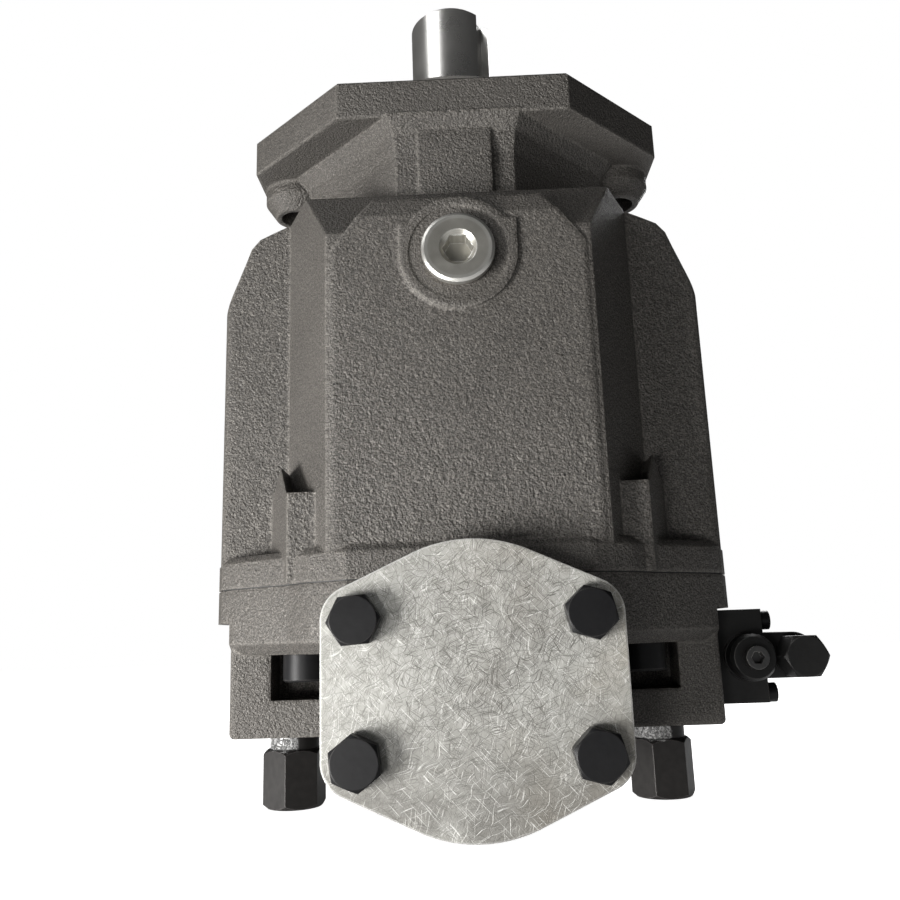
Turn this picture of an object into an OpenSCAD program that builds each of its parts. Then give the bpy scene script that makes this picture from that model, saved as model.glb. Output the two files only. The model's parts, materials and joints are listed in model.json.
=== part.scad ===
// Variable axial piston pump: swash-plate pump with flange, port plate and control valve.
// Frame: shaft axis on Z, mounting face at z = 0, shaft end up, suction port toward -Y.

/* [Shaft and flange] */
// Diameter of the drive shaft end
shaft_d = 45; // [38:0.5:50]
// Length of the shaft end above the mounting face
shaft_out = 82; // [70:1:95]
// Width of the keyway
key_w = 14; // [10:1:16]
// Diameter of the pilot
pilot_d = 125; // [120:1:130]
// Height of the pilot
pilot_h = 9; // [6:0.5:12]
// Thickness of the mounting flange
flange_t = 20; // [16:1:26]
// Distance between the two mounting holes
flange_pitch = 180; // [176:1:184]
// Diameter of the mounting holes
flange_hole_d = 18; // [16:0.5:20]

/* [Bodies] */
// Depth of the joint face below the mounting face
joint_z = 245; // [240:1:250]
// Half width of the front raised panel
panel_x = 59; // [56:0.5:62]
// Half depth of the housing over the raised panels
panel_y = 97; // [95:0.5:99]
// Thickness of the port plate band
band_t = 29; // [26:1:32]
// Depth of the wing underside
wing_z = 309; // [306:1:312]
// Depth of the port centres
port_z = 287; // [280:1:290]
// Distance of the port pads from the shaft axis
pad_y = 110; // [107:0.5:112]

/* [Rotating group] */
// Pitch radius of the pistons
pitch_r = 47; // [46:0.1:48]
// Diameter of the pistons
piston_d = 22; // [20:0.1:22.5]
// Largest swash angle in degrees
swash_max = 17.3; // [10:0.1:17.5]
// Radial running clearance
fit = 0.05; // [0.02:0.01:0.1]

/* [Cover, plug and caps] */
// Thickness of the suction cover plate
cover_t = 4; // [3:0.5:6]
// Across flats of the cover bolts
bolt_af = 18; // [16:0.5:19]
// Head diameter of the drain plug
plug_d = 32; // [28:0.5:36]
// Across flats of the stop screw caps
cap_af = 27; // [24:0.5:30]
// Distance of the control pistons from the shaft axis
control_x = 90; // [88:0.5:92]

/* [Hidden] */
$fn = 72;
fine = 96;
coarse = 36;
eps = 0.01;
over = 1;
pivot_z = -125;
hex_k = 2 / sqrt(3);
shaft_r = shaft_d / 2;
pilot_r = pilot_d / 2;
cavity_r = 70;
roof_z = -80;
key_angle = -28;
gasket_t = 0.6;
plate_z = -joint_z - gasket_t;
band_z = -joint_z - band_t;
cover_y = -pad_y - cover_t;
sae_x = 44.45;
sae_z = 25.4;
hp_x = 33.35;
hp_z = 15.9;
suction_r = 31.5;
pressure_r = 16;
screw_x = 72;
screw_y = 63;
plug_z = -105;
block_top = -150;
block_low = -228;
valve_top = block_low - 0.3;
spigot_z = valve_top - 5;
ball_r = 7;
control_r = 13;
dome_gap = 1.1;
sleeve_r = 16;
chamber_y = 17.5;
cap_z = -320;
cap_low = -347;
valve_x = 123;
valve_x2 = 144;
valve_z = -282;
spool_r = 6;
stop_r = 5;
side_x = 114.8;
side_y = 53;
wing_x = 107;
wing_y = 60;
pocket_z = -293.5;

// ---- helpers ----

// rectangle centred on the origin with round corners
module rrect(w, d, r) {
  square([w, d - 2 * r], center = true);
  square([w - 2 * r, d], center = true);
  for (sx = [-1, 1], sy = [-1, 1])
    translate([sx * (w / 2 - r), sy * (d / 2 - r)]) circle(r);
}

// outline symmetric in x and y from its points in the +x, -y quarter
function four_quarters(p) = concat(p,
  [for (i = [len(p) - 1 : -1 : 0]) [p[i][0], -p[i][1]]],
  [for (q = p) [-q[0], -q[1]]],
  [for (i = [len(p) - 1 : -1 : 0]) [-p[i][0], p[i][1]]]);

// upright prism of a plan shape between two heights
module slab(z_low, z_top) {
  translate([0, 0, z_low]) linear_extrude(z_top - z_low) children();
}

// prism of a front view shape (x, z) running from y0 to y1
module front(y0, y1) {
  translate([0, y1, 0]) rotate([90, 0, 0]) linear_extrude(y1 - y0) children();
}

// both sides in x
module both_x() {
  children();
  mirror([1, 0, 0]) children();
}

// both sides in y
module both_y() {
  children();
  mirror([0, 1, 0]) children();
}

// cylinder along Z between two heights
module rod(r, z_low, z_top) {
  translate([0, 0, z_low]) cylinder(h = z_top - z_low, r = r);
}

// cylinder along Y between two stations, at x and z
module rod_y(r, x, z, y0, y1) {
  translate([x, y1, z]) rotate([90, 0, 0]) cylinder(h = y1 - y0, r = r);
}

// hexagon along Z with turned, chamfered ends
module hex_z(af, z_low, z_top, chamfer) {
  intersection() {
    translate([0, 0, z_low]) cylinder(h = z_top - z_low, r = af / 2 * hex_k, $fn = 6);
    rotate_extrude() polygon([[0, z_low], [af / 2 * 0.98, z_low], [af / 2 * hex_k, z_low + chamfer],
      [af / 2 * hex_k, z_top - chamfer], [af / 2 * 0.98, z_top], [0, z_top]]);
  }
}

// ring of a rectangular section
module ring(r_in, r_out, z_low, z_top) {
  rotate_extrude() translate([r_in, z_low]) square([r_out - r_in, z_top - z_low]);
}

// coil spring: a chain of tilted half rings joined by beads
module coil(r, wire, z_low, z_top, turns) {
  rise = (z_top - z_low - wire) / (2 * turns);
  tilt = asin(rise / (2 * r));
  trim = 1;
  for (i = [0 : 2 * turns - 1])
    translate([0, 0, z_low + wire / 2 + rise * (i + 0.5)]) rotate([0, (i % 2 == 0) ? tilt : -tilt, 0])
      rotate([0, 0, 180 * (i % 2) + trim]) rotate_extrude(angle = 180 - 2 * trim)
        translate([r, 0]) circle(wire / 2, $fn = coarse);
  for (i = [1 : 2 * turns - 1])
    translate([((i % 2 == 0) ? r : -r) * cos(tilt), 0, z_low + wire / 2 + rise * i]) sphere(wire / 2 + 0.08);
}

// ---- housing ----

module flange_plan() {
  polygon([[-57, -72], [57, -72], [108, -24], [108, 24], [57, 72], [-57, 72], [-108, 24], [-108, -24]]);
}

module neck_plan() {
  polygon([[29, -65], [77, -17], [77, 17], [29, 65], [-29, 65], [-77, 17], [-77, -17], [-29, -65]]);
}

// flare between the neck and the flange
module neck_flare() {
  translate([0, 0, -27]) linear_extrude(8, scale = 1.09) scale(1.035) neck_plan();
  translate([0, 0, -38]) linear_extrude(11 + eps, scale = 1.035) neck_plan();
}

// plan of the joint flange and of the port plate band, receding at the corners
module joint_plan() {
  polygon(four_quarters([[50, -100], [66, -92.5], [77, -81.5], [104, -64.5], [112, -57],
    [117, -44]]));
}

module housing_solid() {
  // flange, pilot and bosses
  slab(-flange_t, -1.2) flange_plan();
  slab(-1.2 - eps, 0) scale(0.988) flange_plan();
  rotate_extrude($fn = fine) polygon([[0, -over], [pilot_r, -over], [pilot_r, pilot_h - 1.5],
    [pilot_r - 1.5, pilot_h], [0, pilot_h]]);
  both_x() translate([flange_pitch / 2, 0, 0]) rotate_extrude()
    polygon([[0, -35], [12, -35], [17.5, -27], [17.5, -flange_t + 1], [0, -flange_t + 1]]);
  // neck
  slab(-84, -flange_t + 1) neck_plan();
  neck_flare();
  both_y() slab(-80, -flange_t + 1) translate([-18, -68.5]) square([36, 20]);
  // body with slanted walls all round the raised panels
  intersection() {
    slab(-joint_z, -60) polygon(four_quarters([[58.5, -96], [83, -side_y]]));
    front(-panel_y, panel_y) polygon([[-85, -joint_z], [-85, -67], [-67, -62], [67, -62], [85, -67],
      [85, -joint_z]]);
    rotate([90, 0, 90]) linear_extrude(170, center = true)
      polygon([[-96, -joint_z], [-96, -93], [-72, -62.5], [72, -62.5], [96, -93], [96, -joint_z]]);
  }
  // front and back raised panels
  both_y() intersection() {
    slab(-joint_z, -70) translate([0, -panel_y / 2]) rrect(2 * panel_x, panel_y, 5);
    front(-panel_y - over, 0) polygon([[-panel_x, -joint_z], [-panel_x, -111], [-56, -101], [-43.5, -84],
      [-38, -76], [38, -76], [43.5, -84], [56, -101], [panel_x, -111], [panel_x, -joint_z]]);
    rotate([90, 0, 90]) linear_extrude(140, center = true)
      polygon([[0, -70], [-84, -70], [-92, -74], [-panel_y, -86], [-panel_y, -joint_z], [0, -joint_z]]);
  }
  // side bodies over the swash arms and control pistons
  both_x() intersection() {
    slab(-joint_z, -60) rrect(2 * side_x, 2 * side_y, 4);
    front(-side_y - over, side_y + over) polygon([[60, -joint_z], [60, -62], [84.8, -66.8], [91, -69.6],
      [98, -73], [102.2, -78], [104.9, -85.5], [113, -106.6], [side_x, -112], [side_x, -joint_z]]);
  }
  // swells over the port plate screws
  intersection() {
    slab(-joint_z, -190) polygon(four_quarters([[50, -85], [77, -85], [91, -side_y + over]]));
    both_x() front(-86, 86) polygon([[50, -joint_z], [50, -206.5], [68.5, -206.5], [77.5, -206.5],
      [82.4, -193], [91, -205.5], [91, -joint_z]]);
  }
  // joint flange
  slab(-joint_z, -234) joint_plan();
  translate([0, 0, -234 - eps]) linear_extrude(3, scale = 0.975) joint_plan();
  // boss round the drain plug
  front(-panel_y - 1.6, -panel_y + 2) union() {
    translate([0, plug_z]) circle(26);
    translate([-26, plug_z]) square([52, 15]);
  }
}

module housing() color([0.33, 0.31, 0.29]) difference() {
  housing_solid();
  // mounting holes
  both_x() translate([flange_pitch / 2, 0, 0]) rod(flange_hole_d / 2, -36, over);
  // shaft seal seat, bearing seat and cavity
  rod(36, -14, pilot_h + over);
  translate([0, 0, 4]) rod(37.6, -1, 1.2);
  rod(31, -25, -13);
  rod(45, roof_z - over, -24);
  difference() {
    rod(cavity_r, -joint_z - over, roof_z);
    // cradle saddles
    both_y() translate([-36, -cavity_r - over, roof_z - 7]) cube([72, cavity_r - 30, 20]);
  }
  both_y() rod_y(53, 0, pivot_z, -58, -34);
  // chambers for the arms and the control pistons
  both_x() front(-chamber_y, chamber_y) polygon([[40, -joint_z - over], [40, -76], [91, -76],
    [97.5, -83], [100.5, -93], [107.5, -112], [107.5, -joint_z - over]]);
  // drain hole and its seat
  rod_y(13.5, 0, plug_z, -panel_y - 2, -60);
  rod_y(22, 0, plug_z, -panel_y - 5, -panel_y - 1);
  // second drain port at the back
  rod_y(13.5, 0, plug_z, 60, panel_y + over);
  // tapped holes of the port plate screws
  both_y() both_x() translate([screw_x, screw_y, 0]) rod(7, -joint_z - over, -213);
}

// ---- port plate ----

// front view of the wings with round lower corners
module wing_front() {
  r = 3;
  translate([-wing_x, -wing_z + r]) square([2 * wing_x, wing_z - r + plate_z]);
  translate([-wing_x + r, -wing_z]) square([2 * (wing_x - r), r + 1]);
  for (s = [-1, 1]) translate([s * (wing_x - r), -wing_z + r]) circle(r);
}

module port_plate_solid() {
  // band and side lugs
  slab(band_z + 14, plate_z) joint_plan();
  intersection() {
    union() {
      slab(band_z + 5, plate_z - 2) joint_plan();
      translate([0, 0, band_z]) mirror([0, 0, 1]) translate([0, 0, -5 - eps])
        linear_extrude(5, scale = 0.955) joint_plan();
    }
    translate([-wing_x, -110, band_z - over]) cube([2 * wing_x, 220, 60]);
  }
  // wings
  intersection() {
    slab(-wing_z, plate_z - over) rrect(2 * wing_x, 2 * wing_y, 2);
    front(-wing_y, wing_y) wing_front();
  }
  // central block and port pads
  slab(-322, -250) rrect(104, 212, 10);
  both_y() front(-pad_y, -60) intersection() {
    union() {
      translate([0, -port_z]) circle(50);
      for (sx = [-1, 1], sz = [-1, 1]) translate([sx * sae_x, -port_z + sz * sae_z]) circle(12);
      translate([-54, -port_z - 30]) square([108, 60]);
    }
    translate([-80, -345]) square([160, 345 + plate_z]);
  }
  // spigot that carries the valve plate and the rear bearing
  rod(66, plate_z - over, spigot_z);
  // lands of the stop screw caps
  both_x() translate([control_x, 0, 0]) rod(14, -wing_z - 2, -wing_z + over);
}

module kidney(r_in, r_out, half, z_low, z_top) {
  translate([0, 0, z_low]) rotate([0, 0, -half]) rotate_extrude(angle = 2 * half)
    translate([r_in, 0]) square([r_out - r_in, z_top - z_low]);
}

// pocket in the wing that gives room to a screw head
module window() {
  translate([58, -wing_y - over, pocket_z]) cube([30.8, 19.5, band_z - pocket_z]);
}

module port_plate() color([0.32, 0.30, 0.28]) difference() {
  port_plate_solid();
  both_y() both_x() window();
  both_y() both_x() translate([screw_x, screw_y, 0]) rod(7.25, band_z - over, plate_z + over);
  // rear bearing seat and shaft end room
  rod(36, -256, spigot_z + over);
  rod(22, -262, -255);
  // suction side
  rotate([0, 0, -90]) kidney(41, 53, 62, -285, spigot_z + over);
  rod_y(suction_r, 0, -port_z, -pad_y - over, -42);
  for (sx = [-1, 1], sz = [-1, 1])
    rod_y(6, sx * sae_x, -port_z + sz * sae_z, -pad_y - over, -pad_y + 17);
  // pressure side
  rotate([0, 0, 90]) kidney(42, 52, 58, -280, spigot_z + over);
  rod_y(pressure_r, 0, -port_z, 42, pad_y + over);
  for (sx = [-1, 1], sz = [-1, 1])
    rod_y(7, sx * hp_x, -port_z + sz * hp_z, pad_y - 19, pad_y + over);
  // stop screw holes and the seat of the valve plate pin
  both_x() translate([control_x, 0, 0]) rod(stop_r + fit, -wing_z - 3, plate_z + over);
  translate([57, 0, 0]) rod(2.5, spigot_z - 6, spigot_z + over);
  // tapped holes of the control valve
  for (y = [-38, 38], z = [-266, -298]) translate([89.5, y, z]) rotate([0, 90, 0]) cylinder(h = 30, r = 2.55);
}

module joint_gasket() color([0.08, 0.08, 0.08]) difference() {
  slab(plate_z, -joint_z) scale(0.994) joint_plan();
  rod(cavity_r, plate_z - over, -joint_z + over);
  both_x() translate([45, -chamber_y, plate_z - over]) cube([62.5, 2 * chamber_y, 3]);
  both_y() both_x() translate([screw_x, screw_y, 0]) rod(7.3, plate_z - over, -joint_z + over);
}

module port_plate_screws() color([0.07, 0.07, 0.08])
  both_y() both_x() translate([screw_x, -screw_y, 0]) difference() {
    union() {
      rod(6.95, band_z - eps, -216);
      rotate_extrude() polygon([[0, band_z - 11.5], [9.7, band_z - 11.5], [10.5, band_z - 10.7],
        [10.5, band_z], [0, band_z]]);
    }
    translate([0, 0, band_z - 12.5]) cylinder(h = 7, r = 6 * hex_k, $fn = 6);
  }

// ---- suction cover ----

module cover_plan() {
  big = 55;
  small = 13.5;
  inset = 0.02;
  c = sqrt(sae_x * sae_x + sae_z * sae_z);
  t = atan(sae_z / sae_x) + acos((big - small) / c);
  bx = (big - inset) * cos(t);
  bz = (big - inset) * sin(t);
  sx = sae_x + (small - inset) * cos(t);
  sz = sae_z + (small - inset) * sin(t);
  w = sae_x + small - inset;
  circle(big, $fn = fine);
  for (kx = [-1, 1], kz = [-1, 1]) translate([kx * sae_x, kz * sae_z]) circle(small);
  polygon([[w, sae_z], [sae_x, sae_z], [sx, sz], [bx, bz], [-bx, bz], [-sx, sz], [-sae_x, sae_z],
    [-w, sae_z], [-w, -sae_z], [-sae_x, -sae_z], [-sx, -sz], [-bx, -bz], [bx, -bz], [sx, -sz],
    [sae_x, -sae_z], [w, -sae_z]]);
}

module suction_cover_plate() color([0.74, 0.74, 0.72]) difference() {
  front(cover_y, -pad_y) translate([0, -port_z]) cover_plan();
  for (sx = [-1, 1], sz = [-1, 1])
    rod_y(6.6, sx * sae_x, -port_z + sz * sae_z, cover_y - over, -pad_y + over);
}

// one cover bolt at the origin, head toward -Y, turned by a about its axis
module cover_bolt(a) {
  translate([0, cover_y, 0]) rotate([90, a, 0]) {
    hex_z(bolt_af, 0, 7.5, 1.2);
    rod(5.95, -cover_t - 15, 1);
  }
}

module suction_cover_bolts() color([0.06, 0.06, 0.07]) {
  turn = [[-4, 17], [23, 15]];
  for (i = [0, 1], k = [0, 1])
    translate([(2 * i - 1) * sae_x, 0, -port_z + (1 - 2 * k) * sae_z]) cover_bolt(turn[k][i]);
}

module drain_plug() color([0.62, 0.61, 0.58])
  translate([0, -panel_y - 1, plug_z]) rotate([90, 0, 0]) difference() {
    union() {
      rod(13.45, -14, 1.5);
      rotate_extrude(convexity = 4) polygon([[0, 1.5], [plug_d / 2, 1.5], [plug_d / 2, 4.6],
        [plug_d / 2 - 1.2, 5.4], [0, 5.4]]);
    }
    translate([0, 0, -4]) cylinder(h = 12, r = 6 * hex_k, $fn = 6);
    rotate_extrude() polygon([[0, 3.6], [6.4, 3.6], [8.3, 5.5], [8.3, 6], [0, 6]]);
  }

module drain_plug_seal() color([0.45, 0.42, 0.38])
  translate([0, -panel_y - 1, plug_z]) rotate([90, 0, 0]) ring(13.6, 15.6, 0, 1.5);

// ---- shaft and bearings ----

module drive_shaft() color([0.66, 0.65, 0.63]) rotate([0, 0, key_angle]) difference() {
  rotate_extrude($fn = fine) polygon([[0, -260], [17, -260], [17.5, -259], [17.5, spigot_z],
    [18.9, spigot_z + 1], [18.9, -114], [22, -112], [22, -54], [28, -54], [28, -49], [25, -49],
    [25, 9.5], [shaft_r, 12], [shaft_r, shaft_out - 2], [shaft_r - 2, shaft_out], [0, shaft_out]]);
  // keyway open at the shaft end
  translate([shaft_r - 5.5, -key_w / 2, 20]) cube([10, key_w, shaft_out - 10]);
  translate([shaft_r - 5.5, 0, 20]) rotate([0, 90, 0]) cylinder(h = 10, r = key_w / 2);
  // tapped centre hole
  rod(7, shaft_out - 36, shaft_out + over);
  rotate_extrude() polygon([[0, shaft_out - 4], [7, shaft_out - 4], [9, shaft_out + eps],
    [0, shaft_out + eps]]);
}

module shaft_seal() color([0.1, 0.1, 0.1]) rotate_extrude() polygon([[25.05, -10], [26, -11],
  [27, -12], [36, -12], [36, -2], [34, -2], [34, -10], [28, -10], [27.5, -4], [25.6, -4], [25.05, -6]]);

module seal_retaining_ring() color([0.4, 0.4, 0.42]) difference() {
  ring(32, 37.4, 3.2, 5);
  translate([-6, -40, 0]) cube([12, 20, 8]);
}

// taper bearing parts, large end of the rollers at z_big, small end at z_small
module bearing_cup(r_out, z0, z1, r0, r1) rotate_extrude()
  polygon([[r0, z0], [r_out, z0], [r_out, z1], [r1, z1]]);

module bearing_cone(r_in, z0, z1, r0, r1) rotate_extrude()
  polygon([[r_in, z0], [r0, z0], [r1, z1], [r_in, z1]]);

// cage ring with rollers, rollers lie between the cone and the cup
module roller_set(n, r0, r1, z0, z1, roller) {
  lean = atan((r1 - r0) / (z1 - z0));
  for (i = [0 : n - 1]) rotate([0, 0, i * 360 / n]) translate([r0, 0, z0]) rotate([0, lean, 0])
    cylinder(h = (z1 - z0) / cos(lean), r = roller, $fn = 20);
  rotate_extrude() polygon([[r1 - 2.5, z1 - 2.4], [r1 + 2.5, z1 - 2.4], [r1 + 2.5, z1 + 0.8],
    [r1 - 2.5, z1 + 0.8]]);
  rotate_extrude() polygon([[r0 - 2, z0 - 0.8], [r0 + 2, z0 - 0.8], [r0 + 2, z0 + 2],
    [r0 - 2, z0 + 2]]);
}

module front_bearing_cup() color([0.7, 0.7, 0.68]) bearing_cup(45, -46, -24.2, 41.6, 38.6);
module front_bearing_cone() color([0.7, 0.7, 0.68]) bearing_cone(25, -49, -25, 31.3, 28.2);
module front_bearing_rollers() color([0.62, 0.6, 0.55]) roller_set(18, 36.3, 33.7, -45, -27, 4.9);
module rear_bearing_cup() color([0.7, 0.7, 0.68]) bearing_cup(36, -256, -237, 29.9, 32.6);
module rear_bearing_cone() color([0.7, 0.7, 0.68]) bearing_cone(17.5, -256, spigot_z - 0.4, 20.4, 23.3);
module rear_bearing_rollers() color([0.62, 0.6, 0.55]) roller_set(16, 25.45, 27.65, -253.6, -237.6, 4.45);

// ---- swash plate and cradle ----

module cradle_bearing_shells() color([0.6, 0.45, 0.25]) both_y() difference() {
  rod_y(53, 0, pivot_z, -57.7, -34.3);
  rod_y(50 + fit, 0, pivot_z, -60, -33);
  translate([-60, -68, pivot_z - 60]) cube([120, 40, 60]);
  both_x() translate([33, -68, pivot_z - 5]) cube([40, 40, 60]);
}

module swash_plate() color([0.5, 0.5, 0.5]) translate([0, 0, pivot_z]) difference() {
  union() {
    rod(64, 10, 22);
    // bearing pads
    both_y() intersection() {
      rod_y(50, 0, 0, -57, -36);
      translate([-40, -66, 12]) cube([80, 40, 60]);
      rod(65, 0, 60);
    }
    // arms for the control pistons
    translate([-98, -11, 10]) cube([196, 22, 6]);
    both_x() translate([76, -11, 0]) cube([25, 22, 14]);
  }
  rod(32, 0, 60);
  // blunt arm tips
  both_x() translate([98, -12, 16]) rotate([0, 45, 0]) cube([12, 24, 12], center = true);
}

module retainer_plate() color([0.55, 0.55, 0.56]) translate([0, 0, pivot_z]) difference() {
  rod(62, 2.1, 6.1);
  sphere(26.1, $fn = fine);
  for (i = [0 : 8]) rotate([0, 0, i * 40]) translate([pitch_r, 0, 0]) rod(12.6, 0, 10);
}

module retaining_ball() color([0.68, 0.67, 0.64]) translate([0, 0, pivot_z]) difference() {
  sphere(26, $fn = fine);
  rod(18.95, -30, 30);
  rod(40, 9, 40);
  rod(40, -40, -13);
}

module push_pins() color([0.6, 0.6, 0.6]) for (i = [0 : 2])
  rotate([0, 0, 20 + i * 120]) translate([21.5, 0, 0]) rod(1.5, -168, pivot_z - 13);

module block_spring() color([0.35, 0.36, 0.4]) coil(25.2, 4, -215, -172, 5);

module cylinder_block() color([0.55, 0.53, 0.5]) difference() {
  rotate_extrude($fn = fine) polygon([[18.95, block_low], [60, block_low], [63.5, block_low + 6],
    [63.5, block_top - 1.5], [62, block_top], [18.95, block_top]]);
  // spring room
  ring(21.5, 29, -216, -170);
  ring(18, 29, -216, -210);
  for (i = [0 : 8]) rotate([0, 0, i * 40]) {
    translate([pitch_r, 0, 0]) rod(piston_d / 2 + fit, -216, block_top + over);
    kidney(42, 52, 10, block_low - over, -214);
  }
  for (i = [0 : 2]) rotate([0, 0, 20 + i * 120]) translate([21.5, 0, 0]) rod(1.8, -172, block_top + over);
}

module valve_plate() color([0.6, 0.58, 0.5]) difference() {
  rod(62, spigot_z, valve_top);
  rod(30, spigot_z - over, valve_top + over);
  rotate([0, 0, -90]) kidney(42, 52, 60, spigot_z - over, valve_top + over);
  for (a = [46, 90, 134]) rotate([0, 0, a]) kidney(42, 52, 17, spigot_z - over, valve_top + over);
  translate([57, 0, 0]) rod(2.55, spigot_z - over, valve_top + over);
}

module valve_plate_pin() color([0.65, 0.65, 0.65])
  translate([57, 0, 0]) rod(2.45, spigot_z - 5.5, valve_top - 0.6);

// ---- pistons and slippers ----

module piston(k) color([0.7, 0.69, 0.66]) rotate([0, 0, (k - 1) * 40])
  translate([pitch_r, 0, pivot_z]) difference() {
    union() {
      sphere(ball_r);
      rod(4.2, -10, -3);
      rotate_extrude() polygon([[0, -70], [10.2, -70], [piston_d / 2, -69.2], [piston_d / 2, -9.8],
        [piston_d / 2 - 0.8, -9], [0, -9]]);
    }
    rod(6.5, -71, -22);
    rod(1, -30, 8);
  }

module slipper(k) color([0.66, 0.55, 0.3]) rotate([0, 0, (k - 1) * 40])
  translate([pitch_r, 0, pivot_z]) difference() {
    rotate_extrude() polygon([[0, -3.5], [9.8, -3.5], [9.8, 6.5], [14.5, 6.5], [14.5, 9.6],
      [13, 9.6], [13, 9.2], [7, 9.2], [7, 9.6], [0, 9.6]]);
    sphere(ball_r + fit);
    rod(6.3, -6, -3);
    rod(0.8, 0, 12);
  }

module piston_1() piston(1);
module piston_2() piston(2);
module piston_3() piston(3);
module piston_4() piston(4);
module piston_5() piston(5);
module piston_6() piston(6);
module piston_7() piston(7);
module piston_8() piston(8);
module piston_9() piston(9);
module slipper_1() slipper(1);
module slipper_2() slipper(2);
module slipper_3() slipper(3);
module slipper_4() slipper(4);
module slipper_5() slipper(5);
module slipper_6() slipper(6);
module slipper_7() slipper(7);
module slipper_8() slipper(8);
module slipper_9() slipper(9);

// ---- swash control ----

// ball-ended control piston, top just under the swash arm
module control_piston(low) {
  intersection() {
    rod(control_r, low, pivot_z - dome_gap);
    translate([0, 0, pivot_z - dome_gap - 16]) union() {
      sphere(16);
      rod(20, -120, 0);
    }
  }
}

module stroking_piston() color([0.6, 0.6, 0.6]) translate([control_x, 0, 0]) difference() {
  control_piston(-200);
  rod(8, -201, -150);
}

module bias_piston() color([0.6, 0.6, 0.6]) translate([-control_x, 0, 0]) difference() {
  control_piston(-205);
  rod(9.6, -206, -140);
}

module bias_spring() color([0.3, 0.3, 0.33])
  translate([-control_x, 0, 0]) coil(7.7, 2.6, plate_z + 0.1, -140.2, 11);

module control_sleeves() color([0.58, 0.57, 0.55]) {
  translate([control_x, 0, 0]) ring(control_r + fit, sleeve_r, plate_z, -162);
  translate([-control_x, 0, 0]) ring(control_r + fit, sleeve_r, plate_z, -150);
}

module stop_screws() color([0.3, 0.3, 0.3]) {
  translate([control_x, 0, 0]) rod(stop_r, -335, -229.8);
  translate([-control_x, 0, 0]) rod(stop_r, -335, -141);
}

// cap with a painted collar, turned by a
module stop_cap(a) rotate([0, 0, a]) difference() {
  union() {
    hex_z(cap_af, cap_low, cap_z, 2);
    rod(12, cap_z - over, -wing_z - 2);
  }
  rod(8, -339, -wing_z);
}

module stop_screw_caps() color([0.12, 0.11, 0.11]) {
  translate([-control_x, 0, 0]) stop_cap(24);
  translate([control_x, 0, 0]) stop_cap(5);
}

// ---- control valve ----

module control_valve_body() color([0.1, 0.1, 0.1]) difference() {
  union() {
    translate([107.2, -45, -302]) cube([23.8, 90, 41]);
    rod_y(10.6, valve_x, valve_z, -47, -40);
    translate([130, -45, -291.6]) cube([14, 90, 20]);
    rod_y(10, valve_x2, valve_z + 0.4, -45, 45);
    translate([130, -28, -302]) cube([6, 56, 41]);
  }
  rod_y(spool_r + fit, valve_x, valve_z, -48, 36);
  rod_y(8, valve_x, valve_z, -48, -20);
  rod_y(5 + fit, valve_x2, valve_z, -46, 36);
  rod_y(7, valve_x2, valve_z, -46, -20);
  for (y = [-38, 38], z = [-266, -298]) translate([104, y, z]) rotate([0, 90, 0]) cylinder(h = 40, r = 2.8);
}

// spool with three lands between y0 and y1
module spool(r, y0, y1) rotate([-90, 0, 0]) rotate_extrude() polygon([[0, y0], [r, y0], [r, y0 + 9],
  [r - 2.5, y0 + 10], [r - 2.5, y0 + 18], [r, y0 + 19], [r, y0 + 29], [r - 2.5, y0 + 30],
  [r - 2.5, y1 - 9], [r, y1 - 8], [r, y1], [0, y1]]);

module pressure_spool() color([0.66, 0.66, 0.66]) translate([valve_x, 0, valve_z]) spool(spool_r, -20, 30);
module flow_spool() color([0.66, 0.66, 0.66]) translate([valve_x2, 0, valve_z]) spool(5, -20, 30);

module pressure_spring() color([0.35, 0.36, 0.4])
  translate([valve_x, 0, valve_z]) rotate([-90, 0, 0]) coil(5, 2, -39.6, -20.3, 4);
module flow_spring() color([0.35, 0.36, 0.4])
  translate([valve_x2, 0, valve_z]) rotate([-90, 0, 0]) coil(4.4, 1.8, -39.6, -20.3, 4);

// screw along Y with a hex socket at its outer end
module adjust_screw(r, y0, y1) rotate([90, 0, 0]) difference() {
  rod(r, y0, y1);
  translate([0, 0, y1 - 4]) cylinder(h = 5, r = 2.5 * hex_k, $fn = 6);
}

module pressure_adjust_screw() color([0.3, 0.3, 0.3])
  translate([valve_x, 0, valve_z]) adjust_screw(5, 40, 60);
module flow_adjust_screw() color([0.3, 0.3, 0.3])
  translate([valve_x2, 0, valve_z]) adjust_screw(4, 40, 56);

module valve_lock_nut() color([0.1, 0.1, 0.1])
  translate([valve_x, 0, valve_z]) rotate([90, 0, 0]) difference() {
  union() {
    rotate_extrude() polygon([[0, 47], [10.2, 47], [10.2, 54], [9, 56], [0, 56]]);
    rod(7.9, 41, 47 + eps);
  }
  rod(5 + fit, 40, 57);
}

module valve_adjuster_cap() color([0.1, 0.1, 0.1])
  translate([valve_x2, 0, valve_z]) rotate([90, 0, 0]) difference() {
  union() {
    hex_z(17.4, 45.2, 61, 1.4);
    rod(6.9, 41, 46);
  }
  rod(4 + fit, 40, 58);
}

module valve_mount_screws() color([0.08, 0.08, 0.08])
  for (y = [-38, 38], z = [-266, -298]) translate([0, y, z]) rotate([0, 90, 0]) difference() {
    union() {
      rod(2.5, 90, 132);
      rod(4.3, 131, 136);
    }
    translate([0, 0, 133]) cylinder(h = 5, r = 2 * hex_k, $fn = 6);
  }

// ---- draw ----

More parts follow.
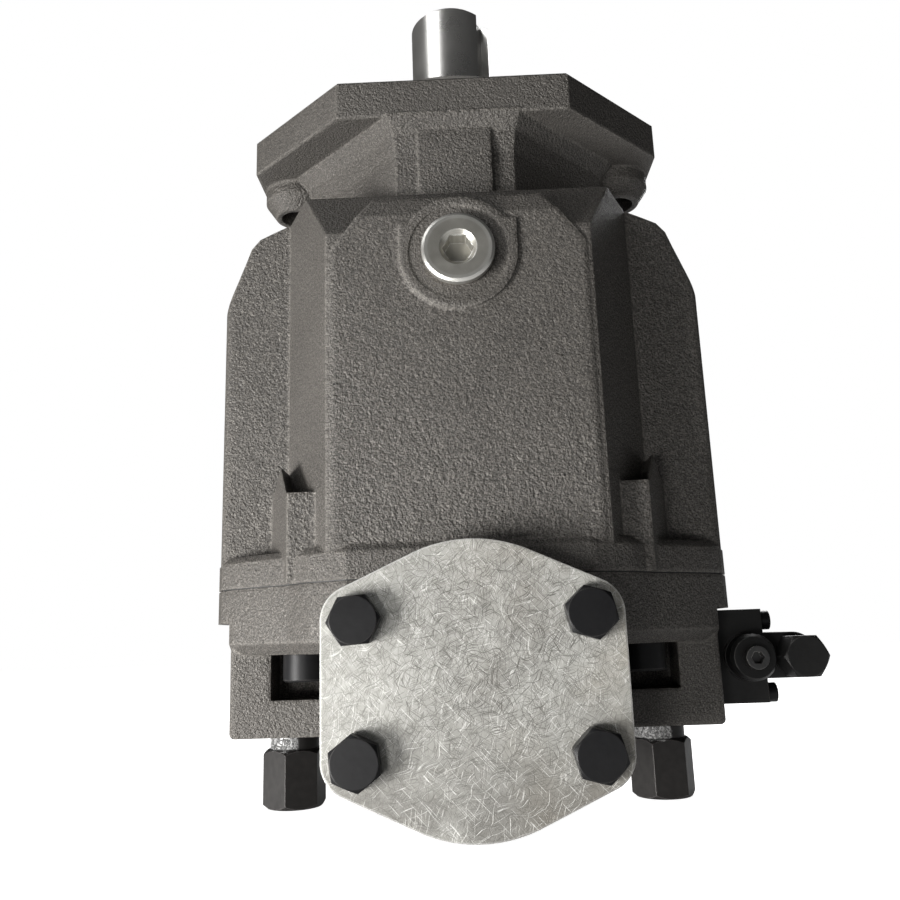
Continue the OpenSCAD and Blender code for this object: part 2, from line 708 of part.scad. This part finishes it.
housing();
port_plate();
joint_gasket();
port_plate_screws();
suction_cover_plate();
suction_cover_bolts();
drain_plug();
drain_plug_seal();
drive_shaft();
shaft_seal();
seal_retaining_ring();
front_bearing_cup();
front_bearing_cone();
front_bearing_rollers();
rear_bearing_cup();
rear_bearing_cone();
rear_bearing_rollers();
cradle_bearing_shells();
swash_plate();
retainer_plate();
retaining_ball();
push_pins();
block_spring();
cylinder_block();
valve_plate();
valve_plate_pin();
piston_1();
piston_2();
piston_3();
piston_4();
piston_5();
piston_6();
piston_7();
piston_8();
piston_9();
slipper_1();
slipper_2();
slipper_3();
slipper_4();
slipper_5();
slipper_6();
slipper_7();
slipper_8();
slipper_9();
stroking_piston();
bias_piston();
bias_spring();
control_sleeves();
stop_screws();
stop_screw_caps();
control_valve_body();
pressure_spool();
flow_spool();
pressure_spring();
flow_spring();
pressure_adjust_screw();
flow_adjust_screw();
valve_lock_nut();
valve_adjuster_cap();
valve_mount_screws();
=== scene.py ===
"""Axial piston pump: materials, floor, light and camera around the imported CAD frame."""

import json
import math

import bpy
from mathutils import Matrix, Vector


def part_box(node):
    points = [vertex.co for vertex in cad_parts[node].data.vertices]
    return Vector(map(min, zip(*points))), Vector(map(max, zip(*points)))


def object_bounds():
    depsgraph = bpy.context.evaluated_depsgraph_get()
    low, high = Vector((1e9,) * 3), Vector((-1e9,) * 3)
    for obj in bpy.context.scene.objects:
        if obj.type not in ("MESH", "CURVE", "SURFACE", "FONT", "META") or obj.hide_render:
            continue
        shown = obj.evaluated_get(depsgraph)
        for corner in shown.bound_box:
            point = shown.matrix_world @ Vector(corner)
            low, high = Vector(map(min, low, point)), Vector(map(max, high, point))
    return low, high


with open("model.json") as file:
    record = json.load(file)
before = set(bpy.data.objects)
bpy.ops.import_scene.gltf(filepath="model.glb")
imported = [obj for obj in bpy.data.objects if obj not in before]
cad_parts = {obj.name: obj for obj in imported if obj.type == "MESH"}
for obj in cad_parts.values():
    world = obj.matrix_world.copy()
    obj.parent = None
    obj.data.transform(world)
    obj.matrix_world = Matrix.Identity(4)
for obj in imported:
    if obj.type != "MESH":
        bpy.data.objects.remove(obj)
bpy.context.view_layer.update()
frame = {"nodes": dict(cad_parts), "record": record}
nodes = frame["nodes"]

# ---- camera: at the photograph's place, looking up at the port side ----

CAMERA_AT = Vector((-0.0005, -0.4445, -0.2688))
CAMERA_PAN = math.radians(-1.157)
CAMERA_TILT = math.radians(12.449)
CAMERA_ROLL = math.radians(-1.92)
LENS_MM = 34.25
SENSOR_MM = 36.0


def add_camera():
    ahead = Vector((math.sin(CAMERA_PAN) * math.cos(CAMERA_TILT),
                    math.cos(CAMERA_PAN) * math.cos(CAMERA_TILT), math.sin(CAMERA_TILT)))
    level = Vector((math.cos(CAMERA_PAN), -math.sin(CAMERA_PAN), 0.0))
    above = level.cross(ahead)
    right = level * math.cos(CAMERA_ROLL) + above * math.sin(CAMERA_ROLL)
    up = above * math.cos(CAMERA_ROLL) - level * math.sin(CAMERA_ROLL)
    data = bpy.data.cameras.new("camera")
    data.lens = LENS_MM
    data.sensor_width = SENSOR_MM
    data.shift_x = 0.0028
    data.shift_y = -0.0026
    data.clip_start = 0.01
    camera = bpy.data.objects.new("camera", data)
    turn = Matrix((right, up, -ahead)).transposed().to_4x4()
    camera.matrix_world = Matrix.Translation(CAMERA_AT) @ turn
    bpy.context.scene.collection.objects.link(camera)
    bpy.context.scene.camera = camera


add_camera()


# ---- material tools ----

class Graph:
    """A material's node tree, with one short call per node."""

    def __init__(self, name):
        self.material = bpy.data.materials.new(name)
        self.material.use_nodes = True
        self.tree = self.material.node_tree
        self.shader = self.tree.nodes["Principled BSDF"]
        self.place = self.add("ShaderNodeTexCoord").outputs["Object"]

    def add(self, kind, **settings):
        node = self.tree.nodes.new(kind)
        for key, value in settings.items():
            setattr(node, key, value)
        return node

    def feed(self, socket, value):
        if isinstance(value, bpy.types.NodeSocket):
            self.tree.links.new(value, socket)
        elif isinstance(value, tuple) and len(value) == 3 and socket.type == "RGBA":
            socket.default_value = (*value, 1.0)
        else:
            socket.default_value = value

    def math(self, operation, a, b=0.0, c=0.0, clamp=False):
        node = self.add("ShaderNodeMath", operation=operation, use_clamp=clamp)
        for socket, value in zip(node.inputs, (a, b, c)):
            self.feed(socket, value)
        return node.outputs[0]

    def mapped(self, scale=(1, 1, 1), turn=(0, 0, 0), move=(0, 0, 0), place=None):
        node = self.add("ShaderNodeMapping")
        node.inputs["Location"].default_value = move
        node.inputs["Rotation"].default_value = [math.radians(a) for a in turn]
        node.inputs["Scale"].default_value = scale
        self.feed(node.inputs["Vector"], self.place if place is None else place)
        return node.outputs[0]

    def noise(self, scale, detail=3.0, rough=0.55, where=None, distort=0.0):
        node = self.add("ShaderNodeTexNoise")
        self.feed(node.inputs["Vector"], self.place if where is None else where)
        node.inputs["Scale"].default_value = scale
        node.inputs["Detail"].default_value = detail
        node.inputs["Roughness"].default_value = rough
        node.inputs["Distortion"].default_value = distort
        return node.outputs[0]

    def cells(self, scale, feature="F1", where=None):
        node = self.add("ShaderNodeTexVoronoi", feature=feature)
        self.feed(node.inputs["Vector"], self.place if where is None else where)
        node.inputs["Scale"].default_value = scale
        return node.outputs["Distance"]

    def step(self, value, low, high):
        """0 below low, 1 above high, smooth between; falling when low > high."""
        node = self.add("ShaderNodeMapRange", interpolation_type="SMOOTHSTEP")
        rising = low <= high
        self.feed(node.inputs["Value"], value)
        node.inputs["From Min"].default_value = min(low, high)
        node.inputs["From Max"].default_value = max(low, high)
        node.inputs["To Min"].default_value = 0.0 if rising else 1.0
        node.inputs["To Max"].default_value = 1.0 if rising else 0.0
        return node.outputs[0]

    def mix(self, amount, a, b):
        node = self.add("ShaderNodeMix", data_type="RGBA")
        self.feed(node.inputs["Factor"], amount)
        self.feed(node.inputs[6], a)
        self.feed(node.inputs[7], b)
        return node.outputs[2]

    def edges(self, radius):
        """1 on the edges of the shape, 0 on its flats."""
        bevel = self.add("ShaderNodeBevel", samples=4)
        bevel.inputs["Radius"].default_value = radius
        plain = self.add("ShaderNodeNewGeometry").outputs["Normal"]
        dot = self.add("ShaderNodeVectorMath", operation="DOT_PRODUCT")
        self.feed(dot.inputs[0], bevel.outputs[0])
        self.feed(dot.inputs[1], plain)
        return self.step(dot.outputs["Value"], 0.995, 0.86)

    def rounded(self, radius):
        bevel = self.add("ShaderNodeBevel", samples=4)
        bevel.inputs["Radius"].default_value = radius
        return bevel.outputs[0]

    def bump(self, height, distance, strength=1.0, normal=None):
        node = self.add("ShaderNodeBump")
        node.inputs["Strength"].default_value = strength
        node.inputs["Distance"].default_value = distance
        self.feed(node.inputs["Height"], height)
        if normal is not None:
            self.feed(node.inputs["Normal"], normal)
        return node.outputs[0]

    def axis(self, letter):
        split = self.add("ShaderNodeSeparateXYZ")
        self.feed(split.inputs[0], self.place)
        return split.outputs[letter]

    def finish(self, **sockets):
        names = {"color": "Base Color", "metal": "Metallic", "rough": "Roughness",
                 "normal": "Normal", "specular": "Specular IOR Level"}
        for key, value in sockets.items():
            self.feed(self.shader.inputs[names[key]], value)
        return self.material


# ---- materials ----

def cast_iron(name, dark, pale, axis, cut_at, grain=1500.0):
    """Sand-cast iron with sparkling grains, pits and paler edges, partly wear and partly a painted
    highlight; past cut_at on the axis it is milled.
    """
    g = Graph(name)
    sand = g.noise(grain, 2.0, 0.6)
    grains = g.cells(grain * 0.55, "SMOOTH_F1")
    coarse = g.noise(grain * 0.32, 2.0, 0.5)
    swell = g.noise(26.0, 3.0, 0.5)
    blot = g.noise(14.0, 4.0, 0.6)
    pits = g.step(g.cells(105.0), 0.035, 0.070)
    speck = g.step(sand, 0.42, 0.66)
    smooth = g.step(g.noise(7.0, 2.0, 0.4), 0.35, 0.62)
    tone = g.math("ADD", g.math("MULTIPLY", speck, 0.68), g.math("MULTIPLY", blot, 0.30))
    # Paler edges: partly edge wear, partly a painted highlight on the rounded edges.
    pale_edges = g.math("MULTIPLY", g.edges(0.0022), g.step(coarse, 0.28, 0.60))
    color = g.mix(tone, dark, pale)
    color = g.mix(g.math("MULTIPLY", pale_edges, 0.60), color, (0.20, 0.187, 0.170))
    color = g.mix(g.math("SUBTRACT", 1.0, pits), color, (0.010, 0.009, 0.008))
    height = g.math("ADD", g.math("MULTIPLY", sand, 0.60), g.math("MULTIPLY", coarse, 0.55))
    height = g.math("ADD", height, g.math("MULTIPLY", grains, -0.40))
    height = g.math("MULTIPLY", height, g.math("MULTIPLY_ADD", pits, 0.5, 0.5))
    height = g.math("MULTIPLY", height, g.math("MULTIPLY_ADD", smooth, 0.45, 0.55))
    milled = g.step(g.axis(axis), cut_at, cut_at + 0.0002)
    lines = g.noise(1.0, 2.0, 0.6, g.mapped((1400.0, 60.0, 60.0), (0, 0, 24)))
    bright = g.math("MULTIPLY", milled, g.math("MULTIPLY_ADD", lines, 0.3, 0.6))
    color = g.mix(bright, color, (0.27, 0.262, 0.25))
    height = g.math("MULTIPLY", height, g.math("MULTIPLY_ADD", milled, -0.93, 1.0))
    normal = g.bump(swell, 0.0020, 0.5, g.rounded(0.0030))
    normal = g.bump(height, 0.0012, 1.0, normal)
    rough = g.math("MULTIPLY_ADD", speck, -0.18, 0.58)
    rough = g.math("MULTIPLY", rough, g.math("MULTIPLY_ADD", milled, -0.35, 1.0))
    return g.finish(color=color, metal=0.25, rough=rough, normal=normal)


def hairs(g, angle, seed, fine=1.0):
    """Short curved hairline scratches crossing the plate at an angle, from one stretched noise."""
    bend = g.noise(95.0, 1.0, 0.4, g.mapped(move=(seed, seed, seed)))
    sway = g.add("ShaderNodeCombineXYZ")
    g.feed(sway.inputs[0], g.math("MULTIPLY", bend, 0.006))
    g.feed(sway.inputs[2], g.math("MULTIPLY", bend, -0.006))
    swayed = g.add("ShaderNodeVectorMath", operation="ADD")
    g.feed(swayed.inputs[0], g.place)
    g.feed(swayed.inputs[1], sway.outputs[0])
    turned = g.mapped((1, 1, 1), (0, angle, 0), (seed, 0, seed * 0.7), swayed.outputs[0])
    where = g.mapped((120.0 * fine, 1.0, 3900.0 * fine), place=turned)
    return g.noise(1.0, 0.0, 0.4, where)


def zinc_sheet(name):
    """Zinc-plated sheet: cloudy, with short hairline scratches, a smudge at its middle, warm stains and
    painted shade along its lower edge.
    """
    g = Graph(name)
    cloud = g.noise(30.0, 5.0, 0.62)
    mottle = g.noise(260.0, 4.0, 0.65)
    grain = g.noise(1100.0, 2.0, 0.6)
    color = g.mix(cloud, (0.22, 0.22, 0.205), (0.32, 0.32, 0.30))
    color = g.mix(g.math("MULTIPLY", g.step(mottle, 0.40, 0.70), 0.45), color, (0.37, 0.37, 0.355))
    warm = g.math("MULTIPLY", g.step(g.axis("X"), -0.02, 0.05), g.step(g.noise(19.0, 3.0), 0.42, 0.68))
    color = g.mix(g.math("MULTIPLY", warm, 0.34), color, (0.27, 0.22, 0.15))
    low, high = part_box("suction_cover_plate")
    x = g.math("SUBTRACT", g.axis("X"), (low[0] + high[0]) / 2 + 0.008)
    z = g.math("SUBTRACT", g.axis("Z"), (low[2] + high[2]) / 2 + 0.018)
    far = g.math("SQRT", g.math("ADD", g.math("MULTIPLY", x, x), g.math("MULTIPLY", z, z)))
    smudge = g.math("MULTIPLY", g.step(far, 0.052, 0.012), g.step(g.noise(75.0, 4.0, 0.65), 0.35, 0.65))
    color = g.mix(g.math("MULTIPLY", smudge, 0.40), color, (0.09, 0.085, 0.08))
    # Darker towards the plate's lower edge: this is painted shade.
    painted_lower_shade = g.math("MULTIPLY", g.step(g.axis("Z"), low[2] + 0.062, low[2] + 0.004),
                     g.step(g.noise(45.0, 4.0, 0.6), 0.15, 0.55))
    color = g.mix(g.math("MULTIPLY", painted_lower_shade, 0.62), color, (0.055, 0.050, 0.044))
    dark_lines = 0.0
    for i, angle in enumerate((12, 38, 61, 88, 117, 149)):
        line = g.step(hairs(g, angle, 3.1 + 7 * i), 0.665, 0.735)
        dark_lines = g.math("MAXIMUM", dark_lines, line)
    pale_lines = 0.0
    for i, angle in enumerate((25, 72, 133)):
        line = g.step(hairs(g, angle, 41.0 + 5 * i, 0.8), 0.70, 0.76)
        pale_lines = g.math("MAXIMUM", pale_lines, line)
    density = g.math("MULTIPLY_ADD", g.step(far, 0.070, 0.015), 0.40, 0.40)
    color = g.mix(g.math("MULTIPLY", pale_lines, 0.6), color, (0.60, 0.60, 0.58))
    color = g.mix(g.math("MULTIPLY", dark_lines, density), color, (0.045, 0.041, 0.035))
    # A bright rim round the plate's edges: painted highlight.
    rim = g.edges(0.0012)
    color = g.mix(g.math("MULTIPLY", rim, 0.7), color, (0.66, 0.66, 0.65))
    height = g.math("ADD", g.math("MULTIPLY", mottle, 0.4), g.math("MULTIPLY", pale_lines, 0.4))
    height = g.math("SUBTRACT", height, g.math("MULTIPLY", dark_lines, 0.5))
    height = g.math("ADD", height, g.math("MULTIPLY", grain, 0.3))
    normal = g.bump(height, 0.00014, 0.6, g.rounded(0.0012))
    rough = g.math("MULTIPLY_ADD", cloud, 0.14, 0.42)
    return g.finish(color=color, metal=0.40, rough=rough, normal=normal)


def dark_steel(name, dark, edge, rough=0.42, metal=0.5, round_by=0.0006):
    """Blackened steel with rubbed edges and faint dust."""
    g = Graph(name)
    dust = g.noise(420.0, 3.0, 0.6)
    smear = g.noise(60.0, 3.0, 0.5)
    pale_edges = g.math("MULTIPLY", g.edges(round_by), g.step(smear, 0.32, 0.6))
    color = g.mix(g.math("MULTIPLY", dust, 0.6), dark, tuple(2.1 * c for c in dark))
    color = g.mix(g.math("MULTIPLY", pale_edges, 0.6), color, edge)
    normal = g.bump(dust, 0.00008, 0.5, g.rounded(round_by))
    shine = g.math("ADD", rough - 0.08, g.math("MULTIPLY", smear, 0.2))
    return g.finish(color=color, metal=metal, rough=shine, normal=normal, specular=0.25)


def machined(name, color_low, color_high, lines=(0, 0, 2600.0), rough=0.28, metal=0.95):
    """Turned or ground metal: fine lines across the axis, soft stains, bright edges."""
    g = Graph(name)
    where = g.mapped(tuple(max(v, 6.0) for v in lines))
    fine = g.noise(1.0, 2.0, 0.6, where)
    stain = g.noise(38.0, 4.0, 0.6)
    color = g.mix(g.math("ADD", g.math("MULTIPLY", fine, 0.5), g.math("MULTIPLY", stain, 0.5)),
                  color_low, color_high)
    pale_edges = g.edges(0.0005)
    color = g.mix(g.math("MULTIPLY", pale_edges, 0.5), color, (0.82, 0.82, 0.80))
    normal = g.bump(fine, 0.00004, 0.7, g.rounded(0.0005))
    shine = g.math("ADD", rough - 0.07, g.math("MULTIPLY", stain, 0.2))
    return g.finish(color=color, metal=metal, rough=shine, normal=normal)


def turned_face(name, centre_z, pitch=0.00055):
    """Face-turned steel: rings round an axis along Y."""
    g = Graph(name)
    x = g.axis("X")
    z = g.math("SUBTRACT", g.axis("Z"), centre_z)
    radius = g.math("SQRT", g.math("ADD", g.math("MULTIPLY", x, x), g.math("MULTIPLY", z, z)))
    rings = g.math("SINE", g.math("MULTIPLY", radius, 2 * math.pi / pitch))
    rings = g.math("MULTIPLY_ADD", rings, 0.5, 0.5)
    stain = g.noise(130.0, 4.0, 0.6)
    rim = g.step(radius, 0.0128, 0.0136)
    tone = g.math("ADD", g.math("MULTIPLY", rings, 0.3), g.math("MULTIPLY", stain, 0.7))
    color = g.mix(tone, (0.30, 0.29, 0.26), (0.56, 0.55, 0.51))
    color = g.mix(g.math("MULTIPLY", rim, 0.45), color, (0.66, 0.66, 0.64))
    color = g.mix(g.math("MULTIPLY", g.edges(0.0006), 0.8), color, (0.88, 0.88, 0.86))
    normal = g.bump(rings, 0.00003, 0.6, g.rounded(0.0005))
    rough = g.math("ADD", 0.24, g.math("MULTIPLY", stain, 0.18))
    return g.finish(color=color, metal=0.9, rough=rough, normal=normal)


CAP_X = 0.090


def painted_caps(name, paint_z):
    """Dark satin hex caps; above paint_z the collar carries crackled silver sealing paint."""
    g = Graph(name)
    ragged = g.math("ADD", g.axis("Z"), g.math("MULTIPLY", g.noise(260.0, 3.0, 0.6), 0.005))
    side = g.math("MULTIPLY", g.math("SIGN", g.axis("X")), CAP_X)
    across = g.math("ADD", g.math("SUBTRACT", g.axis("X"), side), g.math("MULTIPLY", g.noise(180.0), 0.004))
    painted = g.math("MULTIPLY", g.step(ragged, paint_z + 0.0020, paint_z + 0.0028),
                     g.step(across, 0.0062, 0.0050))
    crackle = g.step(g.noise(620.0, 4.0, 0.7, None, 1.2), 0.42, 0.58)
    silver = g.mix(crackle, (0.04, 0.04, 0.04), (0.28, 0.28, 0.28))
    dust = g.noise(300.0, 3.0, 0.6)
    black = g.mix(dust, (0.006, 0.0056, 0.0055), (0.016, 0.0148, 0.0142))
    black = g.mix(g.math("MULTIPLY", g.edges(0.0005), 0.5), black, (0.16, 0.15, 0.15))
    color = g.mix(painted, black, silver)
    height = g.math("ADD", g.math("MULTIPLY", dust, 0.2), g.math("MULTIPLY", painted, crackle))
    normal = g.bump(height, 0.0004, 0.7, g.rounded(0.0007))
    rough = g.math("ADD", 0.38, g.math("MULTIPLY", dust, 0.14))
    return g.finish(color=color, metal=0.2, rough=rough, normal=normal, specular=0.28)


def rubber(name, tone=0.018):
    g = Graph(name)
    skin = g.noise(500.0, 2.0, 0.5)
    color = g.mix(skin, (tone * 0.7,) * 3, (tone * 1.8,) * 3)
    normal = g.bump(skin, 0.00006, 0.5)
    rough = g.math("MULTIPLY_ADD", skin, 0.2, 0.5)
    return g.finish(color=color, metal=0.0, rough=rough, normal=normal)


MOUNTING_FACE_Z = 0.0
PORT_FACE_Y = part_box("port_plate")[1][1]
CUT_BAND = 0.0004
PLUG_Z = -0.105
CAP_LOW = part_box("stop_screw_caps")[0]
HEX_HEIGHT = 0.027
STEEL = ((0.42, 0.42, 0.41), (0.64, 0.63, 0.61))
MATERIALS = {
    "cast_iron": cast_iron("cast_iron", (0.024, 0.0222, 0.0202), (0.112, 0.1035, 0.0935),
                           "Z", MOUNTING_FACE_Z - CUT_BAND),
    "cast_iron_plate": cast_iron("cast_iron_plate", (0.023, 0.0213, 0.0193), (0.108, 0.0995, 0.0895),
                                 "Y", PORT_FACE_Y - CUT_BAND),
    "gasket": rubber("gasket", 0.014),
    "black_screws": dark_steel("black_screws", (0.005, 0.005, 0.0055), (0.10, 0.095, 0.09), 0.36, 0.3),
    "zinc_sheet": zinc_sheet("zinc_sheet"),
    "plug_steel": turned_face("plug_steel", PLUG_Z),
    "seal_metal": machined("seal_metal", (0.20, 0.17, 0.13), (0.40, 0.36, 0.30)),
    "shaft_steel": machined("shaft_steel", *STEEL, lines=(0, 0, 2200.0), rough=0.26),
    "seal_rubber": rubber("seal_rubber", 0.02),
    "ring_steel": machined("ring_steel", (0.16, 0.16, 0.17), (0.34, 0.34, 0.35)),
    "bearing_steel": machined("bearing_steel", *STEEL),
    "roller_steel": machined("roller_steel", (0.36, 0.34, 0.30), (0.62, 0.60, 0.55)),
    "bronze": machined("bronze", (0.42, 0.27, 0.10), (0.62, 0.44, 0.20), rough=0.34),
    "swash_iron": machined("swash_iron", (0.22, 0.22, 0.22), (0.42, 0.42, 0.41), rough=0.36),
    "retainer_steel": machined("retainer_steel", (0.30, 0.30, 0.31), (0.50, 0.50, 0.50)),
    "spring_steel": machined("spring_steel", (0.10, 0.11, 0.13), (0.26, 0.27, 0.30), rough=0.34),
    "block_iron": machined("block_iron", (0.26, 0.25, 0.23), (0.46, 0.44, 0.41), rough=0.36),
    "valve_plate_metal": machined("valve_plate_metal", (0.36, 0.31, 0.20), (0.56, 0.50, 0.36)),
    "piston_steel": machined("piston_steel", (0.46, 0.45, 0.43), (0.68, 0.67, 0.64), rough=0.2),
    "screw_dark": dark_steel("screw_dark", (0.05, 0.05, 0.05), (0.35, 0.34, 0.32), 0.36, 0.8),
    "cap_black": painted_caps("cap_black", CAP_LOW[2] + HEX_HEIGHT),
    "valve_black": dark_steel("valve_black", (0.010, 0.010, 0.010), (0.10, 0.095, 0.09), 0.44, 0.3, 0.001),
}
VALVE_TRIM = dark_steel("valve_trim", (0.010, 0.010, 0.010), (0.16, 0.155, 0.15), 0.36, 0.4)
OWN_MATERIAL = {"valve_lock_nut": VALVE_TRIM, "valve_adjuster_cap": VALVE_TRIM}


def dress(node_name, slot_name):
    obj = nodes[node_name]
    obj.data.materials.clear()
    obj.data.materials.append(OWN_MATERIAL.get(node_name, MATERIALS[slot_name]))


for part in frame["record"]["subparts"]:
    dress(part["node"], part["material_slot"])

# ---- floor ----

FLOOR_SIZE = 6.0
FLOOR_GAP = 0.0005


def add_floor():
    """White paper floor; it looks full white, lights the pump less, and lets the low lamps through."""
    data = bpy.data.meshes.new("floor")
    half = FLOOR_SIZE / 2
    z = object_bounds()[0][2] - FLOOR_GAP
    data.from_pydata([(-half, -half, z), (half, -half, z), (half, half, z), (-half, half, z)], [],
                     [(0, 1, 2, 3)])
    floor = bpy.data.objects.new("floor", data)
    bpy.context.scene.collection.objects.link(floor)
    g = Graph("floor_paper")
    paper = g.noise(40.0, 3.0, 0.5)
    color = g.mix(paper, (0.86, 0.86, 0.86), (0.90, 0.90, 0.90))
    seen = g.add("ShaderNodeLightPath").outputs["Is Camera Ray"]
    g.shader.inputs["Emission Color"].default_value = (1, 1, 1, 1)
    g.feed(g.shader.inputs["Emission Strength"], g.math("MULTIPLY_ADD", seen, 0.80, 0.20))
    data.materials.append(g.finish(color=color, rough=0.9))
    floor.visible_shadow = False


add_floor()

# ---- light: soft key from the lower left in front, weak front, top and back fill ----

CENTRE = Vector((0.0, 0.0, -0.14))


def add_area(name, at, size, watts, color=(1, 1, 1), aim=CENTRE):
    data = bpy.data.lights.new(name, "AREA")
    data.shape = "RECTANGLE"
    data.size, data.size_y = size
    data.energy = watts
    data.color = color
    light = bpy.data.objects.new(name, data)
    light.location = at
    light.rotation_euler = (aim - Vector(at)).to_track_quat("-Z", "Y").to_euler()
    bpy.context.scene.collection.objects.link(light)


add_area("key", (-0.74, -0.58, -0.50), (0.35, 0.35), 27.0, (1.0, 0.985, 0.96))
add_area("front", (-0.35, -0.95, -0.50), (0.20, 0.20), 3.5, (1.0, 0.985, 0.96))
add_area("top", (-0.60, -0.50, 0.70), (0.5, 0.5), 4.0)
add_area("back", (0.3, 0.9, 0.5), (0.8, 0.8), 12.0)


def add_world():
    world = bpy.data.worlds.new("world")
    bpy.context.scene.world = world
    world.use_nodes = True
    tree = world.node_tree
    tree.nodes["Background"].inputs["Color"].default_value = (1.0, 1.0, 1.0, 1.0)
    tree.nodes["Background"].inputs["Strength"].default_value = 0.05
    seen = tree.nodes.new("ShaderNodeBackground")
    seen.inputs["Color"].default_value = (1.0, 1.0, 1.0, 1.0)
    seen.inputs["Strength"].default_value = 1.0
    path = tree.nodes.new("ShaderNodeLightPath")
    mix = tree.nodes.new("ShaderNodeMixShader")
    tree.links.new(path.outputs["Is Camera Ray"], mix.inputs[0])
    tree.links.new(tree.nodes["Background"].outputs[0], mix.inputs[1])
    tree.links.new(seen.outputs[0], mix.inputs[2])
    tree.links.new(mix.outputs[0], tree.nodes["World Output"].inputs["Surface"])


add_world()
bpy.context.scene.view_settings.view_transform = "Standard"
